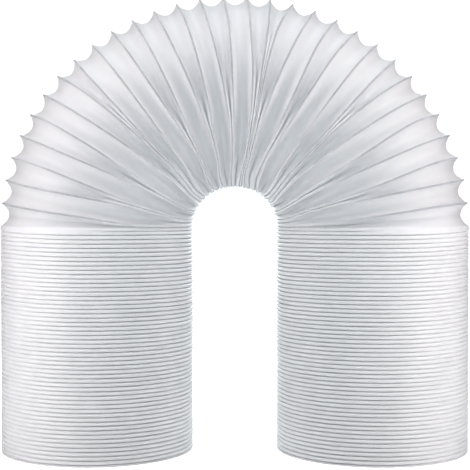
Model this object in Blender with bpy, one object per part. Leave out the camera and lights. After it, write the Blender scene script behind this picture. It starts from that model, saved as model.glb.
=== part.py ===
"""Pleated exhaust hose of a portable air conditioner, standing on its two ends as an arch.

The hose is one piece of white polypropylene. Its legs are pushed together until the pleats
touch, and the bend between them is drawn open like a fan. The world origin is on the floor,
midway between the legs: X runs from leg to leg, Y from front to back, Z up. Metres.
"""

import math

import bmesh
import bpy
from mathutils import Vector

# Hose: the crests' radius, the sheet, and how deep the widest open pleat is
CREST_RADIUS = 0.0750
WALL = 0.0005
OPEN_DEPTH = 0.0062

# Legs: their closed pleats, which touch below this groove, and how many pleats one rib stands for
LEG_PLEATS = 55
CLOSED_PITCH = 0.00318
CLOSED_GROOVE = 0.0016
PLEATS_PER_RIB = 2

# Bend: its clear arch between the legs and above them, and how much it flattens at the top
ARCH_WIDTH = 0.0660
ARCH_RISE = 0.0309
BEND_PLEATS = 31
FLATTENING = 0.015

SIDES = 24

# Finish
COLOUR = (0.86, 0.87, 0.88, 1.0)
ROUGHNESS = 0.42

LEG_HEIGHT = LEG_PLEATS * CLOSED_PITCH
LEG_RIBS = LEG_PLEATS // PLEATS_PER_RIB
BEND_RADIUS = ARCH_WIDTH / 2 + CREST_RADIUS
BEND_RISE = ARCH_RISE + CREST_RADIUS * (1 - FLATTENING)
PLEAT_ANGLE = math.pi / BEND_PLEATS
# The wall from a crest to a valley keeps its length, so a pleat is deeper where it is less open.
WIDEST_HALF_PITCH = (BEND_RADIUS + CREST_RADIUS) * PLEAT_ANGLE / 2
FLANK = math.hypot(WIDEST_HALF_PITCH, OPEN_DEPTH)


def fold_depth(half_pitch):
    """How far a valley lies inside the crests, for half the distance between two crests."""
    return math.sqrt(FLANK**2 - half_pitch**2)


def wall_inwards(half_pitch):
    """The wall's thickness measured towards the hose's axis, on flanks that lean this much."""
    return WALL * FLANK / half_pitch


def bend_half_pitch(around):
    """Half the distance between two crests of the bend, at an angle round the hose from its outer side."""
    return (BEND_RADIUS + CREST_RADIUS * math.cos(around)) * PLEAT_ANGLE / 2


def bend_ring(position, valley, inner):
    """Points of one ring of the bend. position counts pleats from the left leg."""
    along = position * PLEAT_ANGLE
    outwards = Vector((-math.cos(along), 0, math.sin(along)))
    middle = Vector((
        -BEND_RADIUS * math.cos(along),
        0,
        LEG_HEIGHT + BEND_RISE * math.sin(along),
    ))
    flattening = FLATTENING * math.sin(along) ** 2
    points = []
    for side in range(SIDES):
        around = math.tau * side / SIDES
        half_pitch = bend_half_pitch(around)
        radius = CREST_RADIUS
        radius -= fold_depth(half_pitch) if valley else 0
        radius -= wall_inwards(half_pitch) if inner else 0
        points.append(
            middle
            + outwards * radius * math.cos(around) * (1 - flattening)
            + Vector((0, 1, 0)) * radius * math.sin(around) * (1 + flattening)
        )
    return points


def leg_ring(side_of_arch, height, radius):
    """Points of one level ring of a leg, in the same order round the hose as the bend's rings."""
    return [
        Vector((
            side_of_arch * (BEND_RADIUS + radius * math.cos(math.tau * side / SIDES)),
            radius * math.sin(math.tau * side / SIDES),
            height,
        ))
        for side in range(SIDES)
    ]


def leg_rings(side_of_arch):
    """The rings of a leg's outside, up from the floor to the last groove under the bend."""
    rib_pitch = LEG_HEIGHT / LEG_RIBS
    rings = []
    for rib in range(LEG_RIBS):
        rings.append(leg_ring(side_of_arch, rib * rib_pitch, CREST_RADIUS))
        rings.append(leg_ring(side_of_arch, (rib + 0.5) * rib_pitch, CREST_RADIUS - CLOSED_GROOVE))
    return rings


def bend_rings(inner):
    """The rings of the bend's outside or inside, from the left leg's top crest to the right one's."""
    return [
        bend_ring(half_step / 2, half_step % 2 == 1, inner)
        for half_step in range(2 * BEND_PLEATS + 1)
    ]


def hose_rings():
    """All rings in order: up the outside, over the bend and down, then back along the inside."""
    closed_half_pitch = CLOSED_PITCH / 2
    leg_bore = CREST_RADIUS - fold_depth(closed_half_pitch) - 2 * WALL
    outside = leg_rings(-1)
    outside += bend_rings(inner=False)
    outside += reversed(leg_rings(1))
    inside = [leg_ring(1, 0, leg_bore), leg_ring(1, LEG_HEIGHT - closed_half_pitch, leg_bore)]
    inside += reversed(bend_rings(inner=True))
    inside += [leg_ring(-1, LEG_HEIGHT - closed_half_pitch, leg_bore), leg_ring(-1, 0, leg_bore)]
    return outside + inside


def skin(name, rings):
    """One closed mesh through the rings, whose last ring joins the first."""
    shape = bmesh.new()
    loops = [[shape.verts.new(point) for point in ring] for ring in rings]
    for loop, following in zip(loops, loops[1:] + loops[:1]):
        for side in range(SIDES):
            after = (side + 1) % SIDES
            shape.faces.new((loop[side], loop[after], following[after], following[side]))
    bmesh.ops.recalc_face_normals(shape, faces=shape.faces)
    mesh = bpy.data.meshes.new(name)
    shape.to_mesh(mesh)
    shape.free()
    return mesh


def white_polypropylene():
    material = bpy.data.materials.new("white_polypropylene")
    material.use_nodes = True
    shader = material.node_tree.nodes["Principled BSDF"]
    shader.inputs["Base Color"].default_value = COLOUR
    shader.inputs["Roughness"].default_value = ROUGHNESS
    shader.inputs["Metallic"].default_value = 0.0
    return material


def main():
    for left_over in list(bpy.data.objects):
        bpy.data.objects.remove(left_over)
    mesh = skin("hose", hose_rings())
    mesh.shade_smooth()
    mesh.set_sharp_from_angle(angle=math.radians(25))
    mesh.materials.append(white_polypropylene())
    hose = bpy.data.objects.new("hose", mesh)
    bpy.context.scene.collection.objects.link(hose)


main()
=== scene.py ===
"""Pleated exhaust hose of a portable air conditioner, dressed for its picture.

The hose is white polypropylene in one length. It stands on its two ends as an arch: the legs
are pushed together until their pleats touch, and the bend between them is drawn open like a
fan. Its crests stand evenly on the outer side, and lean against each other round the sides.
Distances are in metres, in the frame of the solid model: X from leg to leg, Y from front to
back, Z up from the floor.
"""

import math

import bmesh
import bpy
import numpy as np
from bpy.props import FloatProperty, FloatVectorProperty, IntProperty, PointerProperty
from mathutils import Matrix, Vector


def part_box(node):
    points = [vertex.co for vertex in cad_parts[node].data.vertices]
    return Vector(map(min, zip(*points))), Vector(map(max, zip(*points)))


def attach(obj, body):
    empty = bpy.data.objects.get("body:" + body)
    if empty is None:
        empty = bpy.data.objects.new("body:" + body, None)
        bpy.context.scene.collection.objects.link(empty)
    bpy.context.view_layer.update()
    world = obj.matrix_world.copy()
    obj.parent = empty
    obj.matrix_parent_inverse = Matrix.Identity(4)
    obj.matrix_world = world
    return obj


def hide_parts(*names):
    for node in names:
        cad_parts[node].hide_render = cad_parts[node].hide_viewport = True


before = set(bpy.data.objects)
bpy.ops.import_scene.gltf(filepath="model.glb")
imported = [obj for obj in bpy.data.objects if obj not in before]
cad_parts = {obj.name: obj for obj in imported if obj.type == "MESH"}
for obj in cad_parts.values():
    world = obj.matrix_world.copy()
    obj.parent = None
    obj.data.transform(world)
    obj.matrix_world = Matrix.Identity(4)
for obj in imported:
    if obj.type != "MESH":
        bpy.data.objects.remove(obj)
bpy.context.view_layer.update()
LOW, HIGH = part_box("hose")

bl_info = {
    "name": "Pleated exhaust hose",
    "version": (1, 0, 0),
    "blender": (4, 5, 0),
    "location": "3D View > Sidebar > Exhaust hose",
    "description": "Builds a pleated air conditioner exhaust hose that stands as an arch",
    "category": "Add Mesh",
}

# Share by which the hose is flattened at the top of the bend, and the height of its legs
FLATTENING = 0.015
LEG_HEIGHT = 0.1749
# The solid model gives the rest: how deep, wide and tall the hose stands
CREST_RADIUS = (HIGH.y - LOW.y) / 2 / (1 + FLATTENING)
AXIS_OFFSET = (HIGH.x - LOW.x) / 2 - CREST_RADIUS
BEND_RISE = HIGH.z - LEG_HEIGHT - CREST_RADIUS * (1 - FLATTENING)

# How each crest of the bend leans, in degrees towards the left leg, from the left leg's crest
# to the right leg's. The columns are places round the front, at the angles of LEAN_PLACES from
# the outer side: the shoulder, the front, two places below it and the inner side.
LEAN_PLACES = (59.0, 90.0, 112.0, 134.0, 158.0)
CREST_LEANS = (
    (0.3, 0.9, 1.4, 2.0, 2.6),
    (1.0, 2.2, 4.1, 5.0, 5.2),
    (0.5, 0.3, 0.5, 2.2, 4.2),
    (-0.1, 1.4, 3.5, 6.0, 9.1),
    (-0.4, -0.6, -0.5, 0.9, 3.5),
    (-1.0, -0.5, 0.9, 3.6, 6.9),
    (-1.5, -2.8, -3.5, -3.1, 0.2),
    (-2.0, -3.4, -4.1, -3.9, -0.6),
    (0.0, 0.3, 0.7, 1.8, 5.2),
    (-0.8, -0.9, -0.6, 0.0, 3.5),
    (-1.3, -2.6, -4.1, -5.9, -3.1),
    (-1.3, -1.9, -1.9, -0.8, 2.0),
    (-1.7, -3.8, -5.3, -6.8, -4.0),
    (-1.9, -2.8, -2.7, -1.8, 1.1),
    (-2.0, -4.2, -5.7, -6.5, -4.3),
    (-1.5, -2.1, -2.5, -1.6, 0.8),
    (-1.8, -4.0, -5.0, -5.6, -3.1),
    (-0.7, -1.0, -1.3, -0.2, 2.9),
    (2.8, 3.7, 3.6, 3.8, 5.7),
    (2.6, 5.0, 6.7, 7.7, 8.6),
    (2.2, 2.8, 3.4, 5.2, 6.8),
    (2.4, 3.9, 5.5, 7.4, 5.4),
    (1.4, 1.8, 1.6, 0.9, -2.5),
    (0.8, 0.7, 0.2, -0.3, -2.7),
    (2.3, 4.1, 4.8, 4.6, 0.1),
    (2.0, 3.6, 4.5, 4.4, 0.4),
    (1.8, 1.2, 0.2, -1.6, -5.1),
    (1.1, 1.3, 1.3, 0.4, -2.9),
    (0.5, -0.8, -1.9, -3.6, -6.9),
    (0.3, 0.5, 0.6, -0.2, -3.4),
    (-0.1, -1.2, -2.4, -3.6, -4.4),
    (-0.3, -0.9, -1.4, -2.0, -2.6),
)
# The leans fade towards the outer side: at this angle, this share of the shoulder's is left.
FADE_PLACE = 20.0
FADE_SHARE = 0.12
# Degrees from the inner side at which a crest leaves its line furthest
SLANT_PLACE = 10.0
# Passes that even the crests at the inner side, and passes that keep all of them apart
EVENING_PASSES = 6
SPREADING_PASSES = 120

# Places on a pleat's wall: outside from the foot of its crest to its valley, and inside from one
# crest to the next, where the valley is at 1
WALL_STEPS = (0.0, 0.16, 0.36, 0.60, 0.82)
INSIDE_STEPS = (0.0, 0.35, 0.7, 1.0, 1.3, 1.65)
# Powers of the wall's curve. Open, it is rounded at the valley. Closed, it drops at the groove.
OPEN_CURVE = 2.1
CLOSED_CURVE = 3.5
# The least depth of an open valley, and the most that a wall measures towards the hose's axis
LEAST_DEPTH = 0.0035
THICKEST_WALL = 0.003
# Share of the dust and painted shade that an open valley doesn't get
OPEN_LESS_DUST_AND_SHADE = 0.7
# Number of rings from a crest to the valley beside it. The outside has two more on its crest.
OUTSIDE_VALLEY = len(WALL_STEPS) + 2
INSIDE_VALLEY = INSIDE_STEPS.index(1.0)

# Cut edge on the floor: (share of its height, distance inside the crests, how much dust and painted
# shade it gets)
RIM_PROFILE = ((0.0, 0.0003, 0.8), (0.45, 0.0001, 0.6), (0.85, 0.0006, 0.6))
# Outside of a band, upwards: (place from its middle, in halves of a band, share of the groove)
BAND_PROFILE = (
    (-1.00, 1.00),
    (-0.84, 0.60),
    (-0.70, 0.20),
    (-0.46, 0.02),
    (0.00, 0.06),
    (0.46, 0.02),
    (0.70, 0.20),
    (0.84, 0.60),
)
# Top pleat, upwards: (share of its height, share of the groove, the same for a last groove,
# which starts at the front and runs round the inner side only)
TOP_PROFILE = (
    (0.00, 1.00, 0.0),
    (0.05, 0.60, 0.0),
    (0.10, 0.20, 0.0),
    (0.22, 0.03, 0.0),
    (0.40, 0.00, 0.1),
    (0.46, 0.00, 0.8),
    (0.52, 0.00, 0.1),
    (0.75, 0.00, 0.0),
)
# Inside of a band, downwards: (place from its middle, in halves of a band, distance from the bore)
BORE_PROFILE = ((0.6, 0.0003), (0.0, 0.0), (-0.6, 0.0003), (-1.0, 0.0018))
# Shares by which a leg's grooves are shallower and get less dust and painted shade on its outer
# side, where light falls into them
OUTER_SHALLOWER = 0.45
OUTER_LESS_DUST_AND_SHADE = 0.85
# Each leg: the side of the arch that it stands on, its name, and the seed of its unevenness
LEGS = ((-1, "hose_left_leg", 11), (1, "hose_right_leg", 12))

# The plastic, the grey of the painted shade along a crest, and the grey of dust and painted shade
# in the folds
WHITE_PLASTIC = (0.905, 0.912, 0.925)
CREST_SHADE_GREY = (0.44, 0.45, 0.47)
DUST_AND_SHADE_GREY = (0.46, 0.45, 0.43)

# Strengths of the backdrop and of the paper's white, which only the camera sees, and of the
# world's light from behind
BACKDROP_WHITE = 1.2
PAPER_WHITE = 1.15
LIGHT_FROM_BEHIND = 0.4
# Soft lights close to the hose: (name, place, target, width, height, watts, colour). Each
# stands at left and right, unless it is on the middle line.
LAVENDER = (1.0, 0.95, 0.97)
PALE_BLUE = (0.86, 0.975, 1.0)
STUDIO_LIGHTS = (
    ("side_strip", (0.29, -0.15, 0.16), (0.15, -0.03, 0.16), 0.08, 0.34, 0.10, LAVENDER),
    ("corner_strip", (0.27, -0.21, 0.16), (0.15, -0.03, 0.16), 0.08, 0.34, 0.28, LAVENDER),
    ("shoulder_strip", (0.22, -0.16, 0.40), (0.11, -0.03, 0.27), 0.20, 0.08, 0.22, LAVENDER),
    ("crown_strip", (0.0, -0.16, 0.47), (0.0, -0.03, 0.32), 0.20, 0.08, 0.16, LAVENDER),
    ("arch_light", (0.0, -0.35, 0.20), (0.0, 0.0, 0.22), 0.10, 0.10, 0.205, PALE_BLUE),
    ("back_box", (0.15, 0.60, 0.28), (0.08, 0.0, 0.18), 0.30, 0.30, 1.6, PALE_BLUE),
    ("top_light", (0.0, 0.0, 0.90), (0.0, 0.0, 0.20), 0.80, 0.60, 2.0, PALE_BLUE),
)


class HoseSizes(bpy.types.PropertyGroup):
    """Sizes that the legs and the bend share."""

    crest_radius: FloatProperty(
        name="Crest radius",
        description="Radius of the hose over its crests",
        default=CREST_RADIUS,
        unit="LENGTH",
    )
    wall: FloatProperty(
        name="Wall",
        description="Thickness of the plastic",
        default=0.0005,
        unit="LENGTH",
    )
    axis_offset: FloatProperty(
        name="Leg offset",
        description="Distance from the middle of the arch to the axis of a leg",
        default=AXIS_OFFSET,
        unit="LENGTH",
    )
    leg_height: FloatProperty(
        name="Leg height",
        description="Height of the legs, from the floor to the first crest of the bend",
        default=LEG_HEIGHT,
        unit="LENGTH",
    )
    sides: IntProperty(
        name="Sides",
        description="Points round the hose",
        default=144,
        min=24,
    )


class BendSizes(bpy.types.PropertyGroup):
    """Sizes of the bend, where the pleats are drawn open."""

    rise: FloatProperty(
        name="Rise",
        description="Height of the bend's middle line above the legs",
        default=BEND_RISE,
        unit="LENGTH",
    )
    open_depth: FloatProperty(
        name="Open depth",
        description="Depth of a pleat where it is drawn open widest",
        default=0.0062,
        unit="LENGTH",
    )
    flattening: FloatProperty(
        name="Flattening",
        description="Share by which the hose is flattened at the top of the bend",
        default=FLATTENING,
        subtype="FACTOR",
    )
    least_gap: FloatProperty(
        name="Least gap",
        description="Distance between two crests that are pinched together",
        default=0.0013,
        unit="LENGTH",
    )
    inner_slant: FloatProperty(
        name="Inner slant",
        description="How far a crest leaves its line beside the inner side, in pleats",
        default=0.1,
    )
    closed_groove: FloatProperty(
        name="Closed groove",
        description="Depth of the groove where a pleat is closed and its walls touch below it",
        default=0.0016,
        unit="LENGTH",
    )
    closed_pitch: FloatProperty(
        name="Closed pitch",
        description="Distance between two crests at which their pleat is closed",
        default=0.0030,
        unit="LENGTH",
    )
    open_pitch: FloatProperty(
        name="Open pitch",
        description="Distance between two crests from which their pleat is open to its valley",
        default=0.0100,
        unit="LENGTH",
    )
    bead: FloatProperty(
        name="Crest bead",
        description="Half of the width of the fold along a crest",
        default=0.00055,
        unit="LENGTH",
    )


class LegSizes(bpy.types.PropertyGroup):
    """Sizes of the legs, where the pleats are pushed together."""

    bands: IntProperty(
        name="Bands",
        description="Number of closed pleats that show as bands on a leg",
        default=53,
        min=3,
    )
    top_gap: FloatProperty(
        name="Top pleat",
        description="Height of the pleat that opens into the bend, on the outer side",
        default=0.0037,
        unit="LENGTH",
    )
    fan: FloatProperty(
        name="Fan",
        description="How much taller the stack of pleats is on the outer side",
        default=0.0025,
        unit="LENGTH",
    )
    groove: FloatProperty(
        name="Groove depth",
        description="Depth of the groove between two bands",
        default=0.0024,
        unit="LENGTH",
    )
    rim: FloatProperty(
        name="Rim",
        description="Height of the cut edge that stands on the floor",
        default=0.0015,
        unit="LENGTH",
    )
    bore_radius: FloatProperty(
        name="Bore radius",
        description="Radius of the clear duct inside the closed pleats",
        default=0.0634,
        unit="LENGTH",
    )
    unevenness: FloatProperty(
        name="Unevenness",
        description="How far a band may stand from its even place",
        default=0.00008,
        unit="LENGTH",
    )


class FinishColours(bpy.types.PropertyGroup):
    """Colours of the plastic and of the studio."""

    plastic: FloatVectorProperty(
        name="Plastic",
        description="Colour of the white polypropylene",
        default=WHITE_PLASTIC,
        subtype="COLOR",
        size=3,
    )
    # The colour of the painted shade along a crest
    fold: FloatVectorProperty(
        name="Fold",
        description="Colour of the plastic along a crest, where it is folded sharply",
        default=CREST_SHADE_GREY,
        subtype="COLOR",
        size=3,
    )
    # The colour of the dust and painted shade in the folds
    dust: FloatVectorProperty(
        name="Dust",
        description="Colour of the dust in the folds",
        default=DUST_AND_SHADE_GREY,
        subtype="COLOR",
        size=3,
    )
    floor: FloatVectorProperty(
        name="Floor",
        description="Colour of the studio floor",
        default=(0.92, 0.92, 0.92),
        subtype="COLOR",
        size=3,
    )


def around_angles(sides):
    """Angles round the hose from its outer side. The front of the hose comes first."""
    return np.arange(sides) * math.tau / sides


def smooth_curve(places, values, where):
    """Values on a smooth curve through the values at places, which are columns."""
    places = np.asarray(places, float)
    slopes = np.gradient(values, places, axis=-1)
    index = np.clip(np.searchsorted(places, where) - 1, 0, len(places) - 2)
    width = places[index + 1] - places[index]
    share = (where - places[index]) / width
    leaving = slopes[:, index] * width
    arriving = slopes[:, index + 1] * width
    return (
        values[:, index] * (2 * share**3 - 3 * share**2 + 1)
        + leaving * (share**3 - 2 * share**2 + share)
        + values[:, index + 1] * (3 * share**2 - 2 * share**3)
        + arriving * (share**3 - share**2)
    )


def evened(leans):
    """Leans at the inner side, where the crests share out the room that they have."""
    even = leans.copy()
    for _ in range(EVENING_PASSES):
        even[1:-1] = (even[:-2] + 2 * even[1:-1] + even[2:]) / 4
    return even


def kept_apart(angles, sizes, bend):
    """Moves crests apart where they would come closer than the least gap."""
    around = around_angles(sizes.sides)
    distance = sizes.axis_offset + sizes.crest_radius * np.cos(around)
    least = bend.least_gap / distance
    first = angles[0].copy()
    last = angles[-1].copy()
    for _ in range(SPREADING_PASSES):
        short = np.maximum(least - np.diff(angles, axis=0), 0) / 2
        angles[:-1] -= short
        angles[1:] += short
        angles[0] = first
        angles[-1] = last
    return angles


def crest_angles(sizes, bend):
    """Angles of the crests along the bend, in an array of crests x sides.

    The back leans as the front does, but with left and right swapped. At the inner side each
    crest crosses over at a slant.
    """
    around = np.degrees(around_angles(sizes.sides))
    from_outer = np.where(around <= 180, around, 360 - around)
    front = np.asarray(CREST_LEANS)
    back = -front[::-1]
    inner = evened((front[:, -1:] + back[:, -1:]) / 2)
    places = (0.0, FADE_PLACE) + LEAN_PLACES + (180.0,)
    leans = []
    for side in (front, back):
        values = np.hstack((0 * inner, FADE_SHARE * side[:, :1], side, inner))
        leans.append(smooth_curve(places, values, from_outer))
    lean = np.where(around <= 180, leans[0], leans[1])
    even = np.arange(len(front))[:, None] * math.pi / (len(front) - 1)
    beside = (180 - around) / SLANT_PLACE
    slant = bend.inner_slant * beside * np.exp((1 - beside**2) / 2)
    room = np.gradient(even - np.radians(inner), axis=0)
    room[[0, -1]] = 0
    return kept_apart(even - np.radians(lean) + slant * room, sizes, bend)


def bend_points(along, radius, sizes, bend):
    """Points of one ring of the bend, whose points each have an angle along it and a radius."""
    around = around_angles(sizes.sides)
    flattening = bend.flattening * np.sin(along) ** 2
    outwards = radius * np.cos(around) * (1 - flattening)
    x = -(sizes.axis_offset + outwards) * np.cos(along)
    y = -radius * np.sin(around) * (1 + flattening)
    z = sizes.leg_height + (bend.rise + outwards) * np.sin(along)
    return np.stack((x, y, z), axis=-1)


def pleat_depth(half, flank, bend):
    """Depth of a pleat's valley, and how far the pleat is opened, from 0 to 1.

    half is half of the distance between the crests, round the hose, and flank is the width of
    the sheet between a crest and the valley.
    """
    depth = np.sqrt(np.maximum(flank**2 - half**2, LEAST_DEPTH**2))
    room = bend.open_pitch - bend.closed_pitch
    opened = np.clip((half * 2 - bend.closed_pitch) / room, 0, 1)
    opened = opened**2 * (3 - 2 * opened)
    return bend.closed_groove + (depth - bend.closed_groove) * opened, opened


def pleat_profile(half, opened, bead):
    """Places across a pleat's outside, from its crest up to the next one.

    Each is (share of the pleat, share of the valley's depth, how much it is part of a crest).
    A pleat that isn't opened is a flat band with a narrow groove.
    """
    edge = np.minimum(bead, half * 0.3) / half
    foot = edge * 1.6
    places = [(0 * half, 0 * half, 1.0), (edge / 2, 0.10 * edge, 1.0)]
    for step in WALL_STEPS:
        share = foot + (1 - foot) * step
        down = opened * (1 - (1 - share) ** OPEN_CURVE) + (1 - opened) * share**CLOSED_CURVE
        places.append((share / 2, down, 0.0))
    mirrored = [(1 - share, down, crest) for share, down, crest in places[:0:-1]]
    return places + [(0 * half + 0.5, 0 * half + 1.0, 0.0)] + mirrored


def rolled(place, down, around):
    """Depth of the valley beside a leg, where the top pleat rolls in instead of folding.

    place is the share of the way from the leg's crest to the valley. The outer side keeps
    its fold.
    """
    kept = np.maximum(np.cos(around), 0) ** 3
    return down * kept + place**2 * (3 - 2 * place) * (1 - kept)


def fold_marks(around):
    """How strongly painted shade darkens the crests round the hose: most at its sides, least
    inside, where the crests catch light.
    """
    inwards = 1 - np.cos(around)
    return np.clip(1.75 - inwards * 0.85, 0, 1) * (0.9 + 0.3 * np.sin(around) ** 2)


def bend_rings(sizes, bend):
    """Rings over the bend's outside, and along its inside, with marks at their points.

    Both run from the left leg's top crest to the right leg's.
    """
    crests = crest_angles(sizes, bend)
    around = around_angles(sizes.sides)
    distance = sizes.axis_offset + sizes.crest_radius * np.cos(around)
    pleats = len(crests) - 1
    widest = (sizes.axis_offset + sizes.crest_radius) * math.pi / pleats / 2
    flank = math.hypot(widest, bend.open_depth)
    # Strength of the painted shade along the crests, round the hose
    marks = fold_marks(around)
    outside = []
    inside = []
    for pleat in range(pleats):
        gap = crests[pleat + 1] - crests[pleat]
        half = gap * distance / 2
        depth, opened = pleat_depth(half, flank, bend)
        for index, (share, down, crest) in enumerate(pleat_profile(half, opened, bend.bead)):
            if pleat == 0 and index <= OUTSIDE_VALLEY:
                down = rolled(2 * share, down, around)
            if pleat == pleats - 1 and index >= OUTSIDE_VALLEY:
                down = rolled(2 - 2 * share, down, around)
            radius = sizes.crest_radius - depth * down
            points = bend_points(crests[pleat] + gap * share, radius, sizes, bend)
            # Open valleys get less dust and painted shade
            outside.append((points, crest * marks, down * (1 - OPEN_LESS_DUST_AND_SHADE * opened)))
        through = np.minimum(sizes.wall * np.hypot(half, depth) / half, THICKEST_WALL)
        for step in INSIDE_STEPS:
            down = 1 - abs(1 - step) ** OPEN_CURVE
            radius = sizes.crest_radius - depth * down - through
            points = bend_points(crests[pleat] + gap * step / 2, radius, sizes, bend)
            # The inside of the hose gets the full dust and painted shade
            inside.append((points, 0 * half, 1 + 0 * half))
    last_crest = bend_points(crests[-1], sizes.crest_radius + 0 * around, sizes, bend)
    outside.append((last_crest, marks, 0 * around))
    last_inside = bend_points(crests[-1], sizes.crest_radius - through, sizes, bend)
    inside.append((last_inside, 0 * around, 1 + 0 * around))
    return outside, inside


def leg_skin(side_of_arch, top_outside, top_inside, sizes, leg, chance):
    """Rings up the outside of a leg and back down its inside, with marks at their points.

    The rings at its top are the bend's own, from its end crest to its first valley.
    """
    around = around_angles(sizes.sides)
    outer = np.maximum(np.cos(around), 0)
    inner_half = np.clip(-np.cos(around) / 0.3, 0, 1)
    pressed = 1 - OUTER_SHALLOWER * outer
    # Dust and painted shade in the grooves, less on the outer side, where light falls into them
    dust_and_shade = 1 - OUTER_LESS_DUST_AND_SHADE * outer
    top_groove = sizes.leg_height - leg.top_gap - leg.fan * (1 - outer**2)
    pitch = (top_groove - leg.rim) / leg.bands
    half = pitch / 2

    def ring(height, radius, hollow):
        x = side_of_arch * (sizes.axis_offset + radius * np.cos(around))
        y = -radius * np.sin(around)
        points = np.stack((x, y, height + 0 * around), axis=-1)
        return points, 0 * around, hollow + 0 * around

    skin = [
        ring(leg.rim * share, sizes.crest_radius - within, hollow)
        for share, within, hollow in RIM_PROFILE
    ]
    for band in range(leg.bands):
        middle = leg.rim + half + band * pitch
        waves = chance.uniform(0, math.tau, 3)
        wander = (
            0.5 * np.sin(around + waves[0])
            + 0.3 * np.sin(2 * around + waves[1])
            + 0.2 * np.sin(3 * around + waves[2])
        )
        # The bands next to the rim and to the bend keep their places.
        loose = min(band, leg.bands - 1 - band, 4) / 4
        lift = leg.unevenness * 0.5 * wander * loose
        out = leg.unevenness * (wander[::-1] - 1) * 0.8
        for height, down in BAND_PROFILE:
            radius = sizes.crest_radius + out * (1 - down) - leg.groove * down * pressed
            skin.append(ring(middle + height * half + lift, radius, down * dust_and_shade))
    for share, down, inner_down in TOP_PROFILE:
        down = down * pressed + inner_down * inner_half
        height = top_groove + (sizes.leg_height - top_groove) * share
        skin.append(ring(height, sizes.crest_radius - leg.groove * down, down * dust_and_shade))
    skin += [(points, 0 * around, hollow) for points, _, hollow in top_outside]
    skin += top_inside[::-1]
    for band in reversed(range(leg.bands)):
        middle = leg.rim + half + band * pitch
        for height, out in BORE_PROFILE:
            # The bore gets the full dust and painted shade
            skin.append(ring(middle + height * half, leg.bore_radius + out, 1.0))
    skin.append(ring(0.0, leg.bore_radius + 0.0004, 1.0))
    return skin


def skin_mesh(name, skin):
    """A closed mesh through a skin's rings, with crest and hollow kept as values at its points."""
    points = np.array([points for points, _, _ in skin])
    count, sides = points.shape[:2]
    ring = np.arange(count)[:, None]
    side = np.arange(sides)[None, :]
    next_ring = (ring + 1) % count * sides
    next_side = (side + 1) % sides
    corners = (
        ring * sides + side,
        next_ring + side,
        next_ring + next_side,
        ring * sides + next_side,
    )
    mesh = bpy.data.meshes.new(name)
    mesh.from_pydata(points.reshape(-1, 3), [], np.stack(corners, axis=-1).reshape(-1, 4))
    for mark, column in (("crest", 1), ("hollow", 2)):
        values = np.array([ring_marks[column] for ring_marks in skin], np.float32)
        attribute = mesh.attributes.new(mark, "FLOAT", "POINT")
        attribute.data.foreach_set("value", values.ravel())
    shape = bmesh.new()
    shape.from_mesh(mesh)
    bmesh.ops.recalc_face_normals(shape, faces=shape.faces)
    shape.to_mesh(mesh)
    shape.free()
    return mesh


def add_piece(name, skin, material):
    """Makes a skin a piece of the hose that takes the place of the plain solid."""
    mesh = skin_mesh(name, skin)
    mesh.shade_smooth()
    mesh.set_sharp_from_angle(angle=math.radians(65))
    mesh.materials.append(material)
    piece = bpy.data.objects.new(name, mesh)
    bpy.context.scene.collection.objects.link(piece)
    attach(piece, "root")
    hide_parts("hose")


class NodeBench:
    """Adds nodes to one node tree and links them."""

    def __init__(self, tree):
        self.tree = tree

    def add(self, kind, **settings):
        """A new node of a kind, with its settings by name."""
        node = self.tree.nodes.new(kind)
        for name, value in settings.items():
            setattr(node, name, value)
        return node

    def put(self, value, socket):
        """Links another node's output to a socket, or sets the socket to a value."""
        if isinstance(value, bpy.types.NodeSocket):
            self.tree.links.new(value, socket)
        else:
            socket.default_value = value

    def feed(self, node, **inputs):
        """Puts values into a node's inputs by name, with spaces for underscores."""
        for name, value in inputs.items():
            self.put(value, node.inputs[name.replace("_", " ")])

    def math(self, operation, first, second, clamp=False):
        """The result of a Math node on two values, which may be outputs of other nodes."""
        node = self.add("ShaderNodeMath", operation=operation, use_clamp=clamp)
        self.put(first, node.inputs[0])
        self.put(second, node.inputs[1])
        return node.outputs[0]

    def noise(self, where, scale, detail=3.0, roughness=0.55):
        """Soft noise from 0 to 1 over a surface."""
        node = self.add("ShaderNodeTexNoise")
        self.feed(node, Vector=where, Scale=scale, Detail=detail, Roughness=roughness)
        return node.outputs["Fac"]

    def mix(self, share, first, second):
        """A share of the second colour in the first. Inputs 6 and 7 are the node's colours."""
        node = self.add("ShaderNodeMix", data_type="RGBA")
        self.put(share, node.inputs[0])
        self.put(first, node.inputs[6])
        self.put(second, node.inputs[7])
        return node.outputs[2]


def new_group(name, inputs, outputs):
    """A shader node group, with its inputs and outputs as (name, kind, default)."""
    tree = bpy.data.node_groups.new(name, "ShaderNodeTree")
    for label, kind, default in inputs:
        socket = tree.interface.new_socket(name=label, in_out="INPUT", socket_type=kind)
        socket.default_value = default
    for label, kind in outputs:
        tree.interface.new_socket(name=label, in_out="OUTPUT", socket_type=kind)
    bench = NodeBench(tree)
    return tree, bench, bench.add("NodeGroupInput"), bench.add("NodeGroupOutput")


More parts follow.
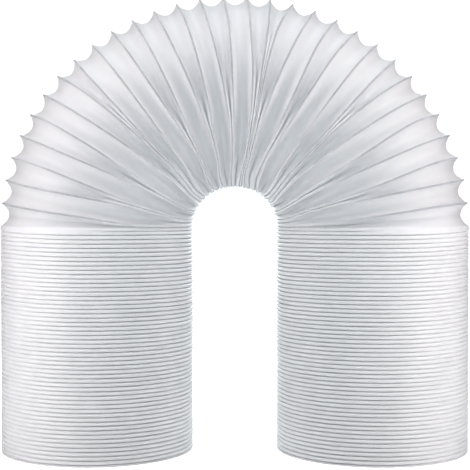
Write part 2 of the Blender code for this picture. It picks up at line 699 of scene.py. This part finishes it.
def drawn_sheet_group():
    """Faint clouding and fine drawn lines of thin polypropylene sheet."""
    tree, bench, given, result = new_group(
        "drawn_sheet",
        (
            ("Colour", "NodeSocketColor", (*WHITE_PLASTIC, 1.0)),
            ("Clouding", "NodeSocketFloat", 0.03),
            ("Roughness", "NodeSocketFloat", 0.40),
            ("Roughness Change", "NodeSocketFloat", 0.08),
        ),
        (
            ("Colour", "NodeSocketColor"),
            ("Roughness", "NodeSocketFloat"),
            ("Height", "NodeSocketFloat"),
        ),
    )
    where = bench.add("ShaderNodeTexCoord").outputs["Object"]
    clouds = bench.noise(where, 38.0)
    grain = bench.noise(where, 900.0, detail=2.0)
    # The drawn lines are long noise, drawn out from front to back.
    lines = bench.add("ShaderNodeMapping")
    bench.feed(lines, Vector=where, Scale=(1.0, 0.12, 1.0))
    drawn = bench.noise(lines.outputs["Vector"], 420.0, detail=2.0)
    change = bench.math("SUBTRACT", clouds, 0.5)
    change = bench.math("MULTIPLY", change, given.outputs["Clouding"])
    change = bench.math("MULTIPLY", change, 4.0)
    level = bench.math("ADD", change, 1.0)
    scaled = bench.add("ShaderNodeVectorMath", operation="SCALE")
    bench.put(given.outputs["Colour"], scaled.inputs[0])
    bench.put(level, scaled.inputs["Scale"])
    rough = bench.math("SUBTRACT", drawn, 0.5)
    rough = bench.math("MULTIPLY", rough, given.outputs["Roughness Change"])
    rough = bench.math("MULTIPLY", rough, 4.0)
    rough = bench.math("ADD", rough, given.outputs["Roughness"])
    height = bench.math("ADD", bench.math("MULTIPLY", grain, 0.35), drawn)
    bench.feed(result, Colour=scaled.outputs[0], Roughness=rough, Height=height)
    return tree


def painted_crest_shade_group():
    """Paints shade along the fold line of a crest, unevenly, and makes it a little rougher."""
    tree, bench, given, result = new_group(
        "painted_crest_shade",
        (
            ("Colour", "NodeSocketColor", (*WHITE_PLASTIC, 1.0)),
            ("Roughness", "NodeSocketFloat", 0.40),
            ("Fold Colour", "NodeSocketColor", (*CREST_SHADE_GREY, 1.0)),
            ("Crest", "NodeSocketFloat", 0.0),
            ("Amount", "NodeSocketFloat", 0.6),
        ),
        (("Colour", "NodeSocketColor"), ("Roughness", "NodeSocketFloat")),
    )
    where = bench.add("ShaderNodeTexCoord").outputs["Object"]
    patches = bench.noise(where, 60.0, detail=4.0)
    strength = bench.math("ADD", bench.math("MULTIPLY", patches, 0.9), 0.45)
    share = bench.math("MULTIPLY", given.outputs["Crest"], given.outputs["Amount"])
    share = bench.math("MULTIPLY", share, strength, clamp=True)
    colour = bench.mix(share, given.outputs["Colour"], given.outputs["Fold Colour"])
    rough = bench.math("ADD", bench.math("MULTIPLY", share, 0.15), given.outputs["Roughness"])
    bench.feed(result, Colour=colour, Roughness=rough)
    return tree


def groove_dust_and_shade_group():
    """Settles a little dust and painted shade where the surface lies deep in a fold."""
    tree, bench, given, result = new_group(
        "groove_dust_and_shade",
        (
            ("Colour", "NodeSocketColor", (*WHITE_PLASTIC, 1.0)),
            ("Roughness", "NodeSocketFloat", 0.40),
            ("Dust Colour", "NodeSocketColor", (*DUST_AND_SHADE_GREY, 1.0)),
            ("Hollow", "NodeSocketFloat", 0.0),
            ("Amount", "NodeSocketFloat", 0.3),
        ),
        (("Colour", "NodeSocketColor"), ("Roughness", "NodeSocketFloat")),
    )
    where = bench.add("ShaderNodeTexCoord").outputs["Object"]
    patches = bench.noise(where, 24.0, detail=5.0, roughness=0.65)
    share = bench.math("POWER", given.outputs["Hollow"], 2.0)
    share = bench.math("MULTIPLY", share, given.outputs["Amount"])
    share = bench.math("MULTIPLY", share, bench.math("ADD", patches, 0.5), clamp=True)
    colour = bench.mix(share, given.outputs["Colour"], given.outputs["Dust Colour"])
    rough = bench.math("ADD", bench.math("MULTIPLY", share, 0.5), given.outputs["Roughness"])
    bench.feed(result, Colour=colour, Roughness=rough)
    return tree


def group_of(make):
    """The node group that the function makes, made once."""
    name = make.__name__.removesuffix("_group")
    return bpy.data.node_groups.get(name) or make()


def pleat_plastic(name, crest_shade_amount, dust_and_shade_amount, colours):
    """White polypropylene with its own share of painted shade along the crests and of dust and
    painted shade in the folds.
    """
    material = bpy.data.materials.new(name)
    material.use_nodes = True
    bench = NodeBench(material.node_tree)
    sheet = bench.add("ShaderNodeGroup", node_tree=group_of(drawn_sheet_group))
    bench.feed(
        sheet,
        Colour=(*colours.plastic, 1.0),
        Clouding=0.022,
        Roughness=0.42,
        Roughness_Change=0.10,
    )
    # crest holds how strongly painted shade darkens a crest; hollow holds how much dust and painted
    # shade a fold gets
    crest = bench.add("ShaderNodeAttribute", attribute_name="crest").outputs["Fac"]
    hollow = bench.add("ShaderNodeAttribute", attribute_name="hollow").outputs["Fac"]
    # Dust and painted shade in the folds, full inside the hose
    dust = bench.add("ShaderNodeGroup", node_tree=group_of(groove_dust_and_shade_group))
    bench.feed(
        dust,
        Colour=sheet.outputs["Colour"],
        Roughness=sheet.outputs["Roughness"],
        Dust_Colour=(*colours.dust, 1.0),
        Hollow=hollow,
        Amount=dust_and_shade_amount,
    )
    # Painted shade along the crests
    fold = bench.add("ShaderNodeGroup", node_tree=group_of(painted_crest_shade_group))
    bench.feed(
        fold,
        Colour=dust.outputs["Colour"],
        Roughness=dust.outputs["Roughness"],
        Fold_Colour=(*colours.fold, 1.0),
        Crest=crest,
        Amount=crest_shade_amount,
    )
    bump = bench.add("ShaderNodeBump")
    bench.feed(bump, Strength=0.25, Distance=0.00005, Height=sheet.outputs["Height"])
    shader = material.node_tree.nodes["Principled BSDF"]
    bench.put(fold.outputs["Colour"], shader.inputs["Base Color"])
    bench.put(fold.outputs["Roughness"], shader.inputs["Roughness"])
    bench.put(bump.outputs["Normal"], shader.inputs["Normal"])
    shader.inputs["IOR"].default_value = 1.49
    shader.inputs["Subsurface Weight"].default_value = 0.35
    shader.inputs["Subsurface Radius"].default_value = (1.0, 1.0, 1.0)
    shader.inputs["Subsurface Scale"].default_value = 0.0015
    return material


def floor_paper(colours):
    """Matt white paper. The camera sees it brighter than it lights the hose."""
    material = bpy.data.materials.new("floor_paper")
    material.use_nodes = True
    bench = NodeBench(material.node_tree)
    shader = material.node_tree.nodes["Principled BSDF"]
    shader.inputs["Base Color"].default_value = (*colours.floor, 1.0)
    shader.inputs["Roughness"].default_value = 0.9
    shader.inputs["Specular IOR Level"].default_value = 0.1
    shader.inputs["Emission Color"].default_value = (1.0, 1.0, 1.0, 1.0)
    seen = bench.add("ShaderNodeLightPath").outputs["Is Camera Ray"]
    bench.put(bench.math("MULTIPLY", seen, PAPER_WHITE), shader.inputs["Emission Strength"])
    return material


def studio_world():
    """A white backdrop for the camera, and soft light from behind for the hose."""
    world = bpy.data.worlds.new("studio")
    world.use_nodes = True
    bench = NodeBench(world.node_tree)
    light = world.node_tree.nodes["Background"]
    light.inputs["Color"].default_value = (1.0, 1.0, 1.0, 1.0)
    direction = bench.add("ShaderNodeSeparateXYZ")
    bench.put(bench.add("ShaderNodeTexCoord").outputs["Generated"], direction.inputs[0])
    from_behind = bench.math("MULTIPLY", direction.outputs["Y"], LIGHT_FROM_BEHIND, clamp=True)
    bench.put(from_behind, light.inputs["Strength"])
    backdrop = bench.add("ShaderNodeBackground")
    backdrop.inputs["Color"].default_value = (1.0, 1.0, 1.0, 1.0)
    backdrop.inputs["Strength"].default_value = BACKDROP_WHITE
    chosen = bench.add("ShaderNodeMixShader")
    bench.put(bench.add("ShaderNodeLightPath").outputs["Is Camera Ray"], chosen.inputs["Fac"])
    bench.put(light.outputs["Background"], chosen.inputs[1])
    bench.put(backdrop.outputs["Background"], chosen.inputs[2])
    bench.put(chosen.outputs["Shader"], world.node_tree.nodes["World Output"].inputs["Surface"])
    bpy.context.scene.world = world


def soft_box(name, place, target, width, height, power, colour):
    """A rectangular soft light at a place, turned to a target. The camera doesn't see it."""
    light = bpy.data.lights.new(name, "AREA")
    light.shape = "RECTANGLE"
    light.size = width
    light.size_y = height
    light.energy = power
    light.color = colour
    lamp = bpy.data.objects.new(name, light)
    lamp.location = place
    turn = Vector(target) - Vector(place)
    lamp.rotation_euler = turn.to_track_quat("-Z", "Y").to_euler()
    lamp.visible_camera = False
    bpy.context.scene.collection.objects.link(lamp)


def place_camera():
    """Stands a little above the legs' tops, straight in front of the arch."""
    camera = bpy.data.cameras.new("camera")
    camera.sensor_width = 36.0
    camera.lens = 87.45
    holder = bpy.data.objects.new("camera", camera)
    holder.location = (0.0002, -0.9, 0.1838)
    holder.rotation_euler = (math.radians(88.98), 0, 0)
    bpy.context.scene.collection.objects.link(holder)
    bpy.context.scene.camera = holder


class HOSE_OT_bend(bpy.types.Operator):
    """Adds the bend with its open pleats"""

    bl_idname = "hose.bend"
    bl_label = "Add the bend"

    def execute(self, context):
        settings = context.scene
        outside, inside = bend_rings(settings.hose_sizes, settings.hose_bend)
        # The rings before the first valley and after the last one belong to the legs.
        outside = outside[OUTSIDE_VALLEY:-OUTSIDE_VALLEY]
        inside = inside[INSIDE_VALLEY:-INSIDE_VALLEY]
        material = pleat_plastic(
            "open_pleats", crest_shade_amount=0.95, dust_and_shade_amount=0.35, colours=settings.hose_colours
        )
        add_piece("hose_bend", outside + inside[::-1], material)
        return {"FINISHED"}


class HOSE_OT_legs(bpy.types.Operator):
    """Adds the two legs with their closed pleats"""

    bl_idname = "hose.legs"
    bl_label = "Add the legs"

    def execute(self, context):
        settings = context.scene
        sizes = settings.hose_sizes
        outside, inside = bend_rings(sizes, settings.hose_bend)
        material = pleat_plastic(
            "closed_pleats", crest_shade_amount=0.35, dust_and_shade_amount=0.50, colours=settings.hose_colours
        )
        for side_of_arch, name, seed in LEGS:
            chance = np.random.default_rng(seed)
            top_outside = outside[::-side_of_arch][:OUTSIDE_VALLEY + 1]
            top_inside = inside[::-side_of_arch][:INSIDE_VALLEY + 1]
            skin = leg_skin(side_of_arch, top_outside, top_inside, sizes, settings.hose_leg, chance)
            add_piece(name, skin, material)
        return {"FINISHED"}


class HOSE_OT_stage(bpy.types.Operator):
    """Adds the floor, the lights and the camera"""

    bl_idname = "hose.stage"
    bl_label = "Add the stage"

    def execute(self, context):
        scene = context.scene
        scene.view_settings.view_transform = "Standard"
        reach = 6.0
        mesh = bpy.data.meshes.new("studio_floor")
        corners = [(-reach, -reach, 0), (reach, -reach, 0), (reach, reach, 0), (-reach, reach, 0)]
        mesh.from_pydata(corners, [], [(0, 1, 2, 3)])
        mesh.materials.append(floor_paper(scene.hose_colours))
        floor = bpy.data.objects.new("studio_floor", mesh)
        scene.collection.objects.link(floor)
        studio_world()
        for name, place, target, *box in STUDIO_LIGHTS:
            for side in (-1, 1) if place[0] else (1,):
                turned = [Vector((side * x, y, z)) for x, y, z in (place, target)]
                soft_box(name, *turned, *box)
        place_camera()
        return {"FINISHED"}


class HOSE_PT_panel(bpy.types.Panel):
    """Lists the hose's operators and sizes"""

    bl_idname = "HOSE_PT_panel"
    bl_label = "Exhaust hose"
    bl_space_type = "VIEW_3D"
    bl_region_type = "UI"
    bl_category = "Exhaust hose"

    def draw(self, context):
        layout = self.layout
        for operator in OPERATORS:
            layout.operator(operator.bl_idname)
        for name, group in SETTINGS:
            box = layout.box()
            box.label(text=group.__doc__)
            settings = getattr(context.scene, name)
            for prop in group.__annotations__:
                box.prop(settings, prop)


OPERATORS = (HOSE_OT_bend, HOSE_OT_legs, HOSE_OT_stage)
SETTINGS = (
    ("hose_sizes", HoseSizes),
    ("hose_bend", BendSizes),
    ("hose_leg", LegSizes),
    ("hose_colours", FinishColours),
)


def register():
    for name, group in SETTINGS:
        bpy.utils.register_class(group)
        setattr(bpy.types.Scene, name, PointerProperty(type=group))
    for operator in OPERATORS:
        bpy.utils.register_class(operator)
    bpy.utils.register_class(HOSE_PT_panel)


def unregister():
    bpy.utils.unregister_class(HOSE_PT_panel)
    for operator in reversed(OPERATORS):
        bpy.utils.unregister_class(operator)
    for name, group in reversed(SETTINGS):
        delattr(bpy.types.Scene, name)
        bpy.utils.unregister_class(group)


def main():
    register()
    bpy.ops.hose.bend()
    bpy.ops.hose.legs()
    bpy.ops.hose.stage()


if __name__ == "__main__":
    main()
